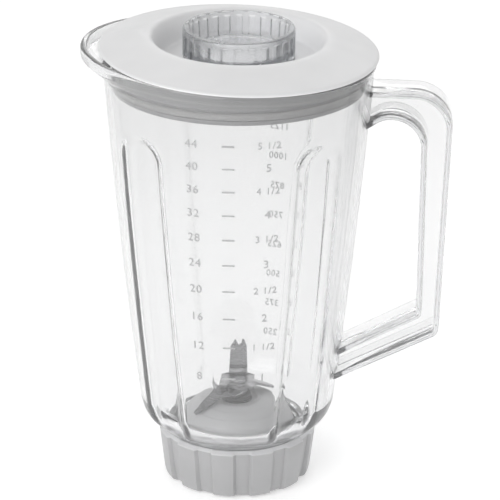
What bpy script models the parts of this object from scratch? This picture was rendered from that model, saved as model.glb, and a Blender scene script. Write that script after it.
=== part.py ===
"""Clear blender jar with its lid, filler cap, screw collar and blade unit.

All dimensions are in millimetres about the jar's axis, with +Z up, and become metres as each mesh is made.
The handle is on +X, the spout on -X and the measuring scale's side on -Y.
"""

import math

import bmesh
import bpy
from mathutils import Matrix, Vector

MM = 0.001
GAP = 0.3  # between two pieces that touch
AXIS_X = -13.1  # the jar's axis, which puts the whole object's box centre on the origin

# Jar
AROUND = 64  # facets round the jar, the lid and the collar
WALL = 3.0
BODY_FOOT_R, BODY_FOOT_Z = 46.3, 40.0
BODY_SLOPE, BODY_BULGE = 0.127, 0.000165
BAND_Z = 197.0  # the rim's tilt and the spout begin above this height
LOW_HEIGHTS = (115.0, 75.0, BODY_FOOT_Z)  # where the side's curve is broken into straight runs
RIM_Z, RIM_R, RIM_BEAD = 212.9, 63.9, 3.6
RIM_TILT = 0.034  # the rim and the lid climb towards the spout, mm per mm
SPOUT_REACH, SPOUT_RISE, SPOUT_HALF_ANGLE = 9.6, 1.0, 68.0
FLUTE_ANGLES = (44.0, 136.0, 224.0, 316.0)
FLUTE_HALF_ANGLE, FLUTE_DEPTH = 14.0, 5.0
FLUTE_ARCH_Z, FLUTE_TOP_Z = 169.0, 183.0
FLUTE_FOOT_Z, FLUTE_FULL_Z = 27.0, 38.0
NECK_R, NECK_BORE_R, NECK_Z = 31.5, 28.6, 16.4
SHOULDER = ((44.9, 34.8), (41.4, 30.4), (37.4, 27.6), (35.2, 26.0), (34.6, 25.6), (NECK_R, 25.6))
FLOOR = ((NECK_BORE_R, 23.5), (31.5, 28.2), (36.0, 31.0), (40.6, 35.4))

# Thread between neck and collar
THREAD_LEAD, THREAD_TURNS = 5.0, 1.25
NECK_THREAD_Z, NECK_THREAD_R = 18.2, 33.0
COLLAR_THREAD_Z, COLLAR_THREAD_R = 15.4, 32.2

# Handle
HANDLE_WIDTH, HANDLE_FLANGE, HANDLE_WEB = 21.0, 2.5, 2.4

# Lid and filler cap
LID_R, LID_EDGE_Z, LID_THICK = 65.0, 214.2, 2.4
WELL_LIP_R, WELL_LIP_Z, WELL_FLOOR_R, WELL_FLOOR_Z = 41.0, 220.4, 35.0, 209.6
LID_HOLE_R = 22.8
SKIRT_R, SKIRT_BORE_R, SKIRT_Z = 57.4, 55.0, 197.6
CAP_R, CAP_TOP_Z, CAP_RIBS, CAP_RIB_DEPTH = 26.0, 224.6, 26, 0.8
CAP_CUP_R, CAP_FLOOR_Z, CAP_SPIGOT_R, CAP_SPIGOT_Z = 21.6, 214.0, 22.0, 202.0

# Collar
COLLAR_TOP_Z, COLLAR_TOP_R, COLLAR_FOOT_R = 25.2, 37.6, 34.6
COLLAR_LOBES, COLLAR_LOBE_DEPTH, COLLAR_LOBE_TURN = 12, 1.8, 0.497
COLLAR_BORE_R, COLLAR_LEDGE_R, COLLAR_RECESS_R = 34.1, 26.5, 29.0
LEDGE_BOTTOM_Z, LEDGE_TOP_Z = 8.0, 11.0

# Blade unit
BASE_FLANGE_R, BASE_FLANGE_BOTTOM_Z, BASE_FLANGE_TOP_Z = 33.2, 11.3, 13.6
BASE_SPIGOT_R, BASE_TOP_Z, BASE_HUB_R, BASE_BORE_R = 27.6, 37.5, 10.6, 6.2
HOUSING_R, HOUSING_BORE_R, HOUSING_HEAD_R, HOUSING_POCKET_R = 5.9, 4.3, 6.8, 4.9
HOUSING_BOTTOM_Z, HOUSING_TOP_Z = 10.6, 40.6
SHAFT_R, SHAFT_BOTTOM_Z, SHAFT_TOP_Z = 3.0, 5.3, 47.6
BLADE_THICK = 1.2
LOWER_BLADE_Z, UPPER_BLADE_Z = 43.2, 44.7

WHITE = (0.78, 0.78, 0.78, 1.0)
CLEAR = (0.86, 0.87, 0.88, 0.35)
STEEL = (0.55, 0.55, 0.56, 1.0)
BRONZE = (0.62, 0.50, 0.30, 1.0)
RUBBER = (0.03, 0.03, 0.03, 1.0)
BLACK_NYLON = (0.04, 0.04, 0.04, 1.0)
PALE_RUBBER = (0.62, 0.62, 0.61, 1.0)
GREY = (0.42, 0.42, 0.43, 1.0)


def material(name, colour, roughness, metallic=0.0):
    """A plain material with one colour, roughness and metallic value."""
    made = bpy.data.materials.new(name)
    made.use_nodes = True
    shader = made.node_tree.nodes["Principled BSDF"]
    shader.inputs["Base Color"].default_value = colour
    shader.inputs["Roughness"].default_value = roughness
    shader.inputs["Metallic"].default_value = metallic
    shader.inputs["Alpha"].default_value = colour[3]
    return made


def add_object(name, mesh, look, collection):
    """Puts a mesh on the jar's axis, with its origin there."""
    obj = bpy.data.objects.new(name, mesh)
    obj.location.x = AXIS_X * MM
    if look:
        mesh.materials.append(material(name + "_look", *look))
    collection.objects.link(obj)
    return obj


def as_tool(obj):
    """Marks an object that only cuts or joins another."""
    obj.hide_render = True
    obj.display_type = "WIRE"
    return obj


def finish_bmesh(name, bm):
    """Turns a bmesh in millimetres into a mesh in metres with its faces pointing out."""
    bmesh.ops.recalc_face_normals(bm, faces=bm.faces)
    bm.transform(Matrix.Scale(MM, 4))
    mesh = bpy.data.meshes.new(name)
    bm.to_mesh(mesh)
    bm.free()
    return mesh


def combine(target, tool, operation, solver="EXACT"):
    """Joins or cuts a target with a tool."""
    modifier = target.modifiers.new(operation.lower() + "_" + tool.name, "BOOLEAN")
    modifier.operation = operation
    modifier.solver = solver
    modifier.object = as_tool(tool)


def turned(name, profile, look, collection, steps=32, closed=True):
    """A turned piece. The profile starts at the top of its outer side and runs down it."""
    mesh = bpy.data.meshes.new(name)
    edges = [(i, i + 1) for i in range(len(profile) - 1)]
    if closed:
        edges.append((len(profile) - 1, 0))
    mesh.from_pydata([(r * MM, 0, z * MM) for r, z in profile], edges, [])
    obj = add_object(name, mesh, look, collection)
    screw = obj.modifiers.new("turn", "SCREW")
    screw.axis = "Z"
    screw.angle = math.tau
    screw.steps = screw.render_steps = steps
    screw.use_merge_vertices = True
    screw.merge_threshold = 0.00001
    return obj


def ring(name, inner, outer, bottom, top, look, collection, steps=32):
    """A plain ring."""
    profile = [(outer, top), (outer, bottom), (inner, bottom), (inner, top)]
    return turned(name, profile, look, collection, steps)


def lofted(name, sections, look, collection, around=AROUND):
    """A closed ring of sections, each a function from an angle to a radius and a height.

    The sections run down the outer side and back up the inner one.
    """
    bm = bmesh.new()
    rows = []
    for section in sections:
        row = []
        for k in range(around):
            angle = math.tau * k / around
            r, z = section(angle)
            row.append(bm.verts.new((r * math.cos(angle), r * math.sin(angle), z)))
        rows.append(row)
    for i, row in enumerate(rows):
        below = rows[(i + 1) % len(rows)]
        for k in range(around):
            nxt = (k + 1) % around
            bm.faces.new((row[k], below[k], below[nxt], row[nxt]))
    return add_object(name, finish_bmesh(name, bm), look, collection)


def nut(name, sides, half_flats, bore_r, bottom, top, look, collection, around=24):
    """A flat-sided ring, such as a nut, with a round bore."""
    step = math.tau / sides

    def outside(z):
        return lambda a: (half_flats / math.cos((a + step / 2) % step - step / 2), z)

    def bore(z):
        return lambda a: (bore_r, z)

    return lofted(name, [outside(top), outside(bottom), bore(bottom), bore(top)], look, collection, around)


def rounded_path(corners, steps=6):
    """A line through corners (x, z, radius), with each corner an arc of its radius."""
    points = [Vector(corners[0][:2])]
    for before, corner, after in zip(corners, corners[1:], corners[2:]):
        at = Vector(corner[:2])
        back = (Vector(before[:2]) - at).normalized()
        ahead = (Vector(after[:2]) - at).normalized()
        half = back.angle(ahead) / 2
        centre = at + (back + ahead).normalized() * (corner[2] / math.sin(half))
        start = at + back * (corner[2] / math.tan(half)) - centre
        turn = (math.pi - 2 * half) * (1 if back.x * ahead.y < back.y * ahead.x else -1)
        for i in range(steps + 1):
            c, s = math.cos(turn * i / steps), math.sin(turn * i / steps)
            points.append(centre + Vector((start.x * c - start.y * s, start.x * s + start.y * c)))
    points.append(Vector(corners[-1][:2]))
    return points


def band_outline(path, thickness):
    """The outline of a band of even thickness along a path."""
    sides = ([], [])
    for i, point in enumerate(path):
        ahead = (path[min(i + 1, len(path) - 1)] - path[max(i - 1, 0)]).normalized()
        across = Vector((-ahead.y, ahead.x)) * (thickness / 2)
        sides[0].append(point + across)
        sides[1].append(point - across)
    return sides[0] + sides[1][::-1]


def plate(name, outline, thickness, collection):
    """An upright plate: a flat outline in x and z, extruded evenly to both sides along y."""
    curve = bpy.data.curves.new(name, "CURVE")
    curve.dimensions = "2D"
    curve.fill_mode = "BOTH"
    curve.extrude = thickness / 2 * MM
    spline = curve.splines.new("POLY")
    spline.points.add(len(outline) - 1)
    spline.use_cyclic_u = True
    for point, (x, z) in zip(spline.points, outline):
        point.co = (x * MM, z * MM, 0, 1)
    flat = bpy.data.objects.new(name + "_outline", curve)
    collection.objects.link(flat)
    bpy.context.view_layer.update()
    mesh = bpy.data.meshes.new_from_object(flat.evaluated_get(bpy.context.evaluated_depsgraph_get()))
    bpy.data.objects.remove(flat)
    bm = bmesh.new()
    bm.from_mesh(mesh)
    bmesh.ops.remove_doubles(bm, verts=bm.verts, dist=0.000001)
    bmesh.ops.recalc_face_normals(bm, faces=bm.faces)
    bm.transform(Matrix.Rotation(math.pi / 2, 4, "X"))
    bm.to_mesh(mesh)
    bm.free()
    mesh.name = name
    return add_object(name, mesh, None, collection)


def helical_ridge(name, root_r, crest_r, z, collection):
    """One thread ridge that climbs with the lead and runs out to nothing much at both ends."""
    steps = round(THREAD_TURNS * 28)
    bm = bmesh.new()
    rows = []
    for i in range(steps + 1):
        turn = THREAD_TURNS * i / steps
        angle = math.tau * turn
        height = z + THREAD_LEAD * turn
        run_out = min(1.0, 0.25 + i / 3, 0.25 + (steps - i) / 3)
        crest = root_r + (crest_r - root_r) * run_out
        corners = ((root_r, 1.1), (crest, 0.5), (crest, -0.5), (root_r, -1.1))
        c, s = math.cos(angle), math.sin(angle)
        rows.append([bm.verts.new((r * c, r * s, height + dz)) for r, dz in corners])
    for row, after in zip(rows, rows[1:]):
        for k in range(4):
            bm.faces.new((row[k], row[k - 1], after[k - 1], after[k]))
    bm.faces.new(rows[0])
    bm.faces.new(rows[-1])
    return add_object(name, finish_bmesh(name, bm), None, collection)


def smooth(t):
    """Eases from 0 to 1."""
    t = min(1.0, max(0.0, t))
    return t * t * (3 - 2 * t)


def off_angle(angle, centre_deg):
    """How far an angle is from a direction, in degrees."""
    return abs((math.degrees(angle) - centre_deg + 180) % 360 - 180)


def wall_radius(z):
    """The jar's plain outer radius above the shoulder."""
    up = z - BODY_FOOT_Z
    return BODY_FOOT_R + BODY_SLOPE * up - BODY_BULGE * up * up


def flute(angle, z):
    """How far the wall is pressed in by the nearest of its upright flutes."""
    if z > FLUTE_TOP_Z or z < FLUTE_FOOT_Z:
        return 0.0
    arch = max(0.0, (z - FLUTE_ARCH_Z) / (FLUTE_TOP_Z - FLUTE_ARCH_Z))
    half = FLUTE_HALF_ANGLE * math.sqrt(max(0.0, 1 - arch * arch))
    away = min(off_angle(angle, centre) for centre in FLUTE_ANGLES)
    if away >= half:
        return 0.0
    foot = smooth((z - FLUTE_FOOT_Z) / (FLUTE_FULL_Z - FLUTE_FOOT_Z))
    depth = FLUTE_DEPTH * foot * math.sqrt(half / FLUTE_HALF_ANGLE)
    return depth * smooth(1.5 * (1 - away / half))


def spout(angle):
    """The spout's share of its full reach in a direction."""
    away = off_angle(angle, 180.0)
    if away >= SPOUT_HALF_ANGLE:
        return 0.0
    return ((1 + math.cos(math.pi * away / SPOUT_HALF_ANGLE)) / 2) ** 1.1


def tilt(r, angle):
    """How much a point on the rim or the lid's top is raised by the climb towards the spout."""
    return -RIM_TILT * r * math.cos(angle)


def rim_height(angle):
    """The top of the jar's rim. Past the lid's edge the spout's lip rises further."""
    lip = max(0.0, (spout(angle) - 0.45) / 0.55)
    return RIM_Z + tilt(RIM_R, angle) + SPOUT_RISE * lip


def jar_sections():
    """The jar's wall: rim, outer side, shoulder, neck, floor opening and inner side."""

    def rim(inset, drop):
        return lambda a: (RIM_R - inset + SPOUT_REACH * spout(a), rim_height(a) - drop)

    def upper(share, reach, inset):
        def section(a):
            z = BAND_Z + share * (rim_height(a) - RIM_BEAD - 1.2 - BAND_Z)
            return wall_radius(z) - inset + SPOUT_REACH * reach * spout(a), z

        return section

    def side(z, inset):
        return lambda a: (wall_radius(z) - inset - flute(a, z), z)

    def round_section(r, z):
        return lambda a: (r - flute(a, z), z)

    heights = (FLUTE_TOP_Z + 1, FLUTE_TOP_Z - 2.5, FLUTE_TOP_Z - 7, FLUTE_ARCH_Z) + LOW_HEIGHTS
    uppers = ((1.0, 0.9), (0.72, 0.25), (0.5, 0.0), (0.0, 0.0))
    sections = [rim(0.7, 0.0), rim(0.0, 0.8), rim(0.0, RIM_BEAD)]
    sections += [upper(share, reach, 0.0) for share, reach in uppers]
    sections += [side(z, 0.0) for z in heights]
    sections += [round_section(r, z) for r, z in SHOULDER]
    sections += [round_section(NECK_R, NECK_Z), round_section(NECK_BORE_R, NECK_Z)]
    sections += [round_section(r, z) for r, z in FLOOR]
    sections += [side(z, WALL) for z in heights[::-1]]
    sections += [upper(share, reach, WALL) for share, reach in uppers[::-1]]
    sections += [rim(WALL + 0.6, 0.8), rim(WALL, 0.0)]
    return sections


def handle_paths():
    """The middle lines of the handle's outer and inner flanges, from the jar's wall and back to it."""
    outer = rounded_path([
        (57.0, 197.2, 0), (99.0, 197.2, 16.5), (94.6, 79.6, 3.5), (44.0, 52.9, 0),
    ])
    inner = rounded_path([
        (56.6, 179.5, 0), (67.5, 186.4, 12.0), (86.9, 187.4, 15.0), (86.4, 88.2, 2.0), (44.4, 65.3, 0),
    ])
    return outer, inner


def make_jar(parts, tools):
    """The jar with the thread on its neck."""
    jar = lofted("jar", jar_sections(), (CLEAR, 0.06), parts)
    ridge = helical_ridge("neck_thread", NECK_R - 0.6, NECK_THREAD_R, NECK_THREAD_Z, tools)
    combine(jar, ridge, "UNION")


def make_handle(parts, tools):
    """The handle, two flanges joined by a web, cut off just clear of the jar's wall."""
    outer, inner = handle_paths()
    handle = plate("handle", outer + inner[::-1], HANDLE_WEB, parts)
    handle.data.materials.append(material("handle_look", CLEAR, 0.06))
    for name, path in (("handle_outer_flange", outer), ("handle_inner_flange", inner)):
        flange = plate(name, band_outline(path, HANDLE_FLANGE), HANDLE_WIDTH, tools)
        combine(handle, flange, "UNION", "MANIFOLD")
    heights = (BAND_Z + 8, BAND_Z, FLUTE_TOP_Z + 1, FLUTE_ARCH_Z) + LOW_HEIGHTS
    side = [(wall_radius(z) + GAP, z) for z in heights]
    side = [(0, heights[0])] + side + [(0, heights[-1])]
    wall = turned("handle_trim", side, None, tools, AROUND, closed=False)
    combine(handle, wall, "DIFFERENCE", "MANIFOLD")


def make_lid(parts):
    """The lid: a domed flange, a well for the filler cap, and a skirt that plugs into the jar."""

    def point(r, z, share=1.0):
        return lambda a: (r, z + share * tilt(r, a))

    sections = [
        point(40.0, WELL_LIP_Z - 0.6, 0.45), point(WELL_LIP_R, WELL_LIP_Z, 0.5),
        point(43.5, WELL_LIP_Z - 0.2, 0.55),
        point(53.0, LID_EDGE_Z + 3.4, 0.9), point(LID_R - 0.8, LID_EDGE_Z + 0.3), point(LID_R, LID_EDGE_Z - 0.4),
        point(LID_R - 0.4, RIM_Z + GAP),
        point(59.4, RIM_Z + GAP), point(58.2, RIM_Z - 0.1), point(SKIRT_R, RIM_Z - 1.1),
        point(SKIRT_R, 199.8, 0), point(58.6, 199.4, 0), point(58.0, SKIRT_Z, 0),
        point(SKIRT_BORE_R, SKIRT_Z, 0), point(SKIRT_BORE_R, RIM_Z - 2.6),
        point(53.0, LID_EDGE_Z + 1.2, 0.9), point(42.0, WELL_LIP_Z - 3.2, 0.5),
        point(38.6, WELL_FLOOR_Z + 2.1, 0.2),
        point(36.6, WELL_FLOOR_Z - LID_THICK, 0), point(LID_HOLE_R, WELL_FLOOR_Z - LID_THICK, 0),
        point(LID_HOLE_R, WELL_FLOOR_Z, 0), point(WELL_FLOOR_R, WELL_FLOOR_Z, 0),
        point(36.3, WELL_FLOOR_Z + 1.2, 0), point(38.2, WELL_LIP_Z - 3.4, 0.2),
    ]
    lofted("lid", sections, (WHITE, 0.35), parts)
    seal = [
        (58.9, 203.6), (58.2, 202.6), (58.2, 201.6), (58.9, 200.4), (SKIRT_R + GAP, 200.2), (SKIRT_R + GAP, 203.8),
    ]
    turned("lid_seal", seal, (PALE_RUBBER, 0.6), parts, steps=AROUND)


def make_filler_cap(parts):
    """The clear cap: a ribbed cup whose spigot drops through the lid's hole, and its seal."""
    foot = WELL_FLOOR_Z + 2 * GAP + 0.8

    def ribbed(r, z, depth=CAP_RIB_DEPTH):
        def section(a):
            phase = (math.degrees(a) * CAP_RIBS / 360.0) % 1.0
            return (r if phase < 0.45 else r - depth), z

        return section

    def plain(r, z):
        return lambda a: (r, z)

    sections = [
        plain(CAP_R - 0.8, CAP_TOP_Z), plain(CAP_R, CAP_TOP_Z - 0.8), plain(CAP_R, CAP_TOP_Z - 2.2),
        ribbed(CAP_R, CAP_TOP_Z - 2.6), ribbed(CAP_R, foot), plain(CAP_R - 2.4, foot),
        plain(CAP_R - 2.6, CAP_FLOOR_Z - 2.2), plain(CAP_SPIGOT_R, CAP_FLOOR_Z - 2.2),
        plain(CAP_SPIGOT_R - 0.4, CAP_SPIGOT_Z), plain(CAP_SPIGOT_R - 2.2, CAP_SPIGOT_Z),
        plain(CAP_SPIGOT_R - 2.0, CAP_FLOOR_Z - 2.2), plain(2.0, CAP_FLOOR_Z - 2.2),
    ]
    rim = [plain(2.0, CAP_FLOOR_Z), plain(CAP_CUP_R - 1.2, CAP_FLOOR_Z), plain(CAP_CUP_R, CAP_FLOOR_Z + 1.2)]
    rim.append(plain(CAP_R - 3.2, CAP_TOP_Z - 0.7))
    rim.append(plain(CAP_R - 2.4, CAP_TOP_Z))
    cap = lofted("filler_cap", sections + rim, (CLEAR, 0.06), parts, around=CAP_RIBS * 3)
    fill_centre(cap)
    ring("cap_seal", CAP_R - 2.2, CAP_R - 0.2, WELL_FLOOR_Z + GAP, foot - GAP, (PALE_RUBBER, 0.6), parts, 48)


def fill_centre(cap):
    """Closes the small hole that the ring of sections leaves in the middle of the cap's floor."""
    bm = bmesh.new()
    bm.from_mesh(cap.data)
    centre = [v for v in bm.verts if math.hypot(v.co.x, v.co.y) < 2.5 * MM]
    inner = [f for f in bm.faces if all(v in centre for v in f.verts)]
    bmesh.ops.delete(bm, geom=inner, context="FACES")
    bmesh.ops.holes_fill(bm, edges=[e for e in bm.edges if e.is_boundary])
    bmesh.ops.recalc_face_normals(bm, faces=bm.faces)
    bm.to_mesh(cap.data)
    bm.free()


def make_collar(parts, tools):
    """The screw collar: grip lobes outside, thread and a ledge for the blade unit inside."""

    def lobed(r, z, share=1.0):
        def section(a):
            phase = (math.degrees(a) * COLLAR_LOBES / 360.0 + COLLAR_LOBE_TURN) % 1.0
            raised = smooth(phase / 0.09) - smooth((phase - 0.6) / 0.09)
            return r - COLLAR_LOBE_DEPTH * share * (1 - raised), z

        return section

    def plain(r, z):
        return lambda a: (r, z)

    sections = [
        plain(COLLAR_TOP_R - 2.0, COLLAR_TOP_Z), plain(COLLAR_TOP_R - 0.1, COLLAR_TOP_Z - 1.4),
        lobed(COLLAR_TOP_R, COLLAR_TOP_Z - 1.9, 0.4), lobed(COLLAR_FOOT_R + 0.8, 4.5),
        lobed(COLLAR_FOOT_R, 1.2, 1.15), plain(COLLAR_FOOT_R - 2.6, 0.0), plain(COLLAR_RECESS_R, 0.0),
        plain(COLLAR_RECESS_R, LEDGE_BOTTOM_Z), plain(COLLAR_LEDGE_R, LEDGE_BOTTOM_Z),
        plain(COLLAR_LEDGE_R, LEDGE_TOP_Z), plain(COLLAR_BORE_R, LEDGE_TOP_Z),
        plain(COLLAR_BORE_R, COLLAR_TOP_Z - 1.2),
        plain(COLLAR_BORE_R + 0.3, COLLAR_TOP_Z),
    ]
    collar = lofted("collar", sections, (WHITE, 0.4), parts, around=COLLAR_LOBES * 6)
    ridge = helical_ridge("collar_thread", COLLAR_BORE_R + 0.6, COLLAR_THREAD_R, COLLAR_THREAD_Z, tools)
    combine(collar, ridge, "UNION")


def make_blade_base(parts):
    """The blade unit's fixed pieces: domed base, gaskets, bearing housing, nut, bushes and seal."""
    base = [
        (BASE_HUB_R - 0.6, BASE_TOP_Z), (11.4, 38.7), (15.0, 38.3), (19.5, 36.6), (24.0, 33.0), (27.0, 28.2),
        (BASE_SPIGOT_R, 24.5), (BASE_SPIGOT_R, BASE_FLANGE_TOP_Z),
        (BASE_FLANGE_R, BASE_FLANGE_TOP_Z), (BASE_FLANGE_R, BASE_FLANGE_BOTTOM_Z),
        (BASE_SPIGOT_R - 2.8, BASE_FLANGE_BOTTOM_Z), (BASE_SPIGOT_R - 2.8, 24.5), (19.6, 32.0),
        (BASE_HUB_R, 34.4), (BASE_HUB_R, 12.7), (BASE_BORE_R, 12.7), (BASE_BORE_R, BASE_TOP_Z),
    ]
    turned("blade_base", base, (WHITE, 0.4), parts, steps=48)
    flange_z = BASE_FLANGE_TOP_Z + GAP
    ring("jar_gasket", BASE_SPIGOT_R + GAP, 31.6, flange_z, NECK_Z - GAP, (PALE_RUBBER, 0.6), parts, 48)
    gasket_z = BASE_TOP_Z + GAP
    ring("housing_gasket", BASE_BORE_R, HOUSING_HEAD_R + 0.4, gasket_z, gasket_z + 0.8, (RUBBER, 0.6), parts)
    head_z = gasket_z + 0.8 + GAP
    pocket_z = BASE_TOP_Z
    housing = [
        (HOUSING_HEAD_R - 0.4, HOUSING_TOP_Z), (HOUSING_HEAD_R, HOUSING_TOP_Z - 0.4), (HOUSING_HEAD_R, head_z),
        (HOUSING_R, head_z), (HOUSING_R, HOUSING_BOTTOM_Z), (HOUSING_BORE_R, HOUSING_BOTTOM_Z),
        (HOUSING_BORE_R, pocket_z), (HOUSING_POCKET_R, pocket_z), (HOUSING_POCKET_R, HOUSING_TOP_Z),
    ]
    turned("bearing_housing", housing, (BLACK_NYLON, 0.4, 0.0), parts)
    nut_bottom, nut_top = HOUSING_BOTTOM_Z + GAP, 12.4
    nut("housing_nut", 6, 10.4, HOUSING_R + GAP, nut_bottom, nut_top, (STEEL, 0.35, 1.0), parts)
    bush = (SHAFT_R + 0.12, HOUSING_BORE_R - GAP)
    ring("upper_bush", *bush, 28.0, pocket_z - 1.0, (BRONZE, 0.4, 1.0), parts)
    ring("lower_bush", *bush, HOUSING_BOTTOM_Z + 0.6, 19.6, (BRONZE, 0.4, 1.0), parts)
    seal_step = HOUSING_TOP_Z + GAP
    neck, lip = HOUSING_POCKET_R - GAP, HOUSING_POCKET_R + 0.1
    seal = [
        (neck, seal_step + 1.0), (lip, seal_step + 0.6), (lip, seal_step), (neck, seal_step),
        (neck, pocket_z + GAP), (SHAFT_R + 0.15, pocket_z + GAP), (SHAFT_R + 0.15, seal_step + 1.0),
    ]
    turned("shaft_seal", seal, (RUBBER, 0.5), parts)


def blade(name, hub_half, z, wings, parts, tools):
    """A stamped blade: a flat hub with a hole, and wings bent up or down.

    Each wing is a direction in degrees and its stations: distance out, height and half width.
    """
    bm = bmesh.new()
    bmesh.ops.create_cube(bm, size=1.0)
    bmesh.ops.scale(bm, vec=(2 * hub_half[0], 2 * hub_half[1], BLADE_THICK), verts=bm.verts)
    bmesh.ops.translate(bm, vec=(0, 0, z + BLADE_THICK / 2), verts=bm.verts)
    hub = add_object(name, finish_bmesh(name, bm), (STEEL, 0.25, 1.0), parts)
    for number, (direction, stations) in enumerate(wings, 1):
        combine(hub, wing(f"{name}_wing_{number}", direction, z, stations, tools), "UNION")
    hole = ring(name + "_hole", 0.0, SHAFT_R + GAP, z - 2, z + 4, None, tools, 24)
    combine(hub, hole, "DIFFERENCE")


def wing(name, direction, z, stations, tools):
    """One wing as a loft of thin oblongs along its stations, square to its run."""
    bm = bmesh.new()
    rows = []
    for i, (out, up, half) in enumerate(stations):
        before, after = stations[max(i - 1, 0)], stations[min(i + 1, len(stations) - 1)]
        run = Vector((after[0] - before[0], 0, after[1] - before[1])).normalized()
        normal = Vector((-run.z, 0, run.x)) * (BLADE_THICK / 2)
        middle = Vector((out, 0, z + BLADE_THICK / 2 + up))
        side = Vector((0, half, 0))
        corners = (
            middle + side + normal, middle + side - normal, middle - side - normal, middle - side + normal,
        )
        rows.append([bm.verts.new(corner) for corner in corners])
    for row, after in zip(rows, rows[1:]):
        for k in range(4):
            bm.faces.new((row[k], row[k - 1], after[k - 1], after[k]))
    bm.faces.new(rows[0])
    bm.faces.new(rows[-1])
    bmesh.ops.rotate(bm, matrix=Matrix.Rotation(math.radians(direction), 3, "Z"), verts=bm.verts)
    return add_object(name, finish_bmesh(name, bm), None, tools)


def make_spindle(parts, tools):
    """The pieces that spin: shaft, washers, blades, clip and the drive coupling."""
    groove_bottom, groove_top, groove_r = 8.7, 9.5, 2.4
    shaft = [
        (0, SHAFT_TOP_Z), (2.3, SHAFT_TOP_Z), (2.6, SHAFT_TOP_Z - 0.3), (SHAFT_R, SHAFT_TOP_Z - 0.6),
        (SHAFT_R, groove_top), (groove_r, groove_top), (groove_r, groove_bottom), (SHAFT_R, groove_bottom),
        (SHAFT_R, SHAFT_BOTTOM_Z), (0, SHAFT_BOTTOM_Z),
    ]
    turned("blade_shaft", shaft, (STEEL, 0.25, 1.0), parts, steps=24, closed=False)
    washer_r = SHAFT_R + GAP
    ring("thrust_washer", washer_r, 4.8, 42.2, LOWER_BLADE_Z - GAP, (STEEL, 0.3, 1.0), parts, 24)
    swept = ((3.0, 0.0, 3.8), (9.5, 0.0, 3.8), (17.5, -3.9, 2.8), (25.0, -7.6, 0.7))
    blade("lower_blade", (5.2, 4.6), LOWER_BLADE_Z, ((223.0, swept), (43.0, swept)), parts, tools)
    steep = (
        (3.0, 0.0, 8.0), (9.4, 0.0, 8.0), (10.5, 0.9, 4.5), (11.3, 2.8, 4.4), (12.3, 14.0, 3.8), (12.7, 17.4, 1.7),
    )
    blade("upper_blade", (8.4, 4.3), UPPER_BLADE_Z, ((93.0, steep),), parts, tools)
    top_washer_z = UPPER_BLADE_Z + BLADE_THICK + GAP
    nut("blade_washer", 4, 4.4, washer_r, top_washer_z, top_washer_z + 0.8, (STEEL, 0.2, 1.0), parts)
    ring("lower_washer", washer_r, 6.0, 9.7, HOUSING_BOTTOM_Z - GAP, (STEEL, 0.3, 1.0), parts, 24)
    clip = ring("retaining_clip", groove_r + 0.25, 5.2, groove_bottom + 0.15, groove_top - 0.15,
                (STEEL, 0.3, 1.0), parts, 24)
    combine(clip, box_tool("clip_mouth", (3.2, 3.2, 4.0), (4.8, 0, 9.1), tools), "DIFFERENCE")
    coupling = [
        (7.0, 8.4), (7.6, 7.8), (7.6, 6.4), (12.0, 6.0), (12.4, 5.6), (12.4, 2.0), (11.9, 1.5),
        (SHAFT_R + GAP, 1.5), (SHAFT_R + GAP, 8.4),
    ]
    body = turned("drive_coupling", coupling, (GREY, 0.5), parts)
    combine(body, box_tool("coupling_socket", (8.0, 8.0, 4.0), (0, 0, 3.0), tools), "DIFFERENCE")
    for k in range(6):
        notch = box_tool(f"coupling_notch_{k + 1}", (4.0, 3.0, 2.6), (12.4, 0, 1.8), tools)
        notch.data.transform(Matrix.Rotation(math.tau * k / 6, 4, "Z"))
        combine(body, notch, "DIFFERENCE")


def box_tool(name, size, centre, tools):
    """A box that cuts a socket, slot or notch."""
    bm = bmesh.new()
    bmesh.ops.create_cube(bm, size=1.0)
    bmesh.ops.scale(bm, vec=size, verts=bm.verts)
    bmesh.ops.translate(bm, vec=centre, verts=bm.verts)
    return add_object(name, finish_bmesh(name, bm), None, tools)


def clear_scene():
    """Removes what a new file holds."""
    for obj in list(bpy.data.objects):
        bpy.data.objects.remove(obj, do_unlink=True)


def main():
    clear_scene()
    parts = bpy.data.collections.new("blender_jar")
    tools = bpy.data.collections.new("cutters")
    for collection in (parts, tools):
        bpy.context.scene.collection.children.link(collection)
    make_jar(parts, tools)
    make_handle(parts, tools)
    make_lid(parts)
    make_filler_cap(parts)
    make_collar(parts, tools)
    make_blade_base(parts)
    make_spindle(parts, tools)


main()
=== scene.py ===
import math

import bmesh
import bpy
from mathutils import Matrix, Vector


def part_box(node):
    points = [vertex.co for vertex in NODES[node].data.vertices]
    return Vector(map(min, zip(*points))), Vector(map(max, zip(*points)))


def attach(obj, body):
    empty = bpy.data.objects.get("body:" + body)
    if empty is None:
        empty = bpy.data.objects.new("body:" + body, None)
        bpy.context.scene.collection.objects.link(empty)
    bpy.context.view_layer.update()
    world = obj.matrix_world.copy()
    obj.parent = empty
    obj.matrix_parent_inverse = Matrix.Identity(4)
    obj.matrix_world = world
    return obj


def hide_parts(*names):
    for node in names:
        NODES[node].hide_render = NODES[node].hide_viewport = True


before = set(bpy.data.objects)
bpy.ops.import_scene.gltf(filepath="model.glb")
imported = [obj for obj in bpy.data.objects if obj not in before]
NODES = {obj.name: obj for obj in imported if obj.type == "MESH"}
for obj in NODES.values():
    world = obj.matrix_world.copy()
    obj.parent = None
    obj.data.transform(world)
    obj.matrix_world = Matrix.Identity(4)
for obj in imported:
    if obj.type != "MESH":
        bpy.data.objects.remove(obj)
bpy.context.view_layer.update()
MM = 0.001  # metres
AXIS_X = (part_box("blade_shaft")[0][0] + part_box("blade_shaft")[1][0]) / 2 / MM

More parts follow.
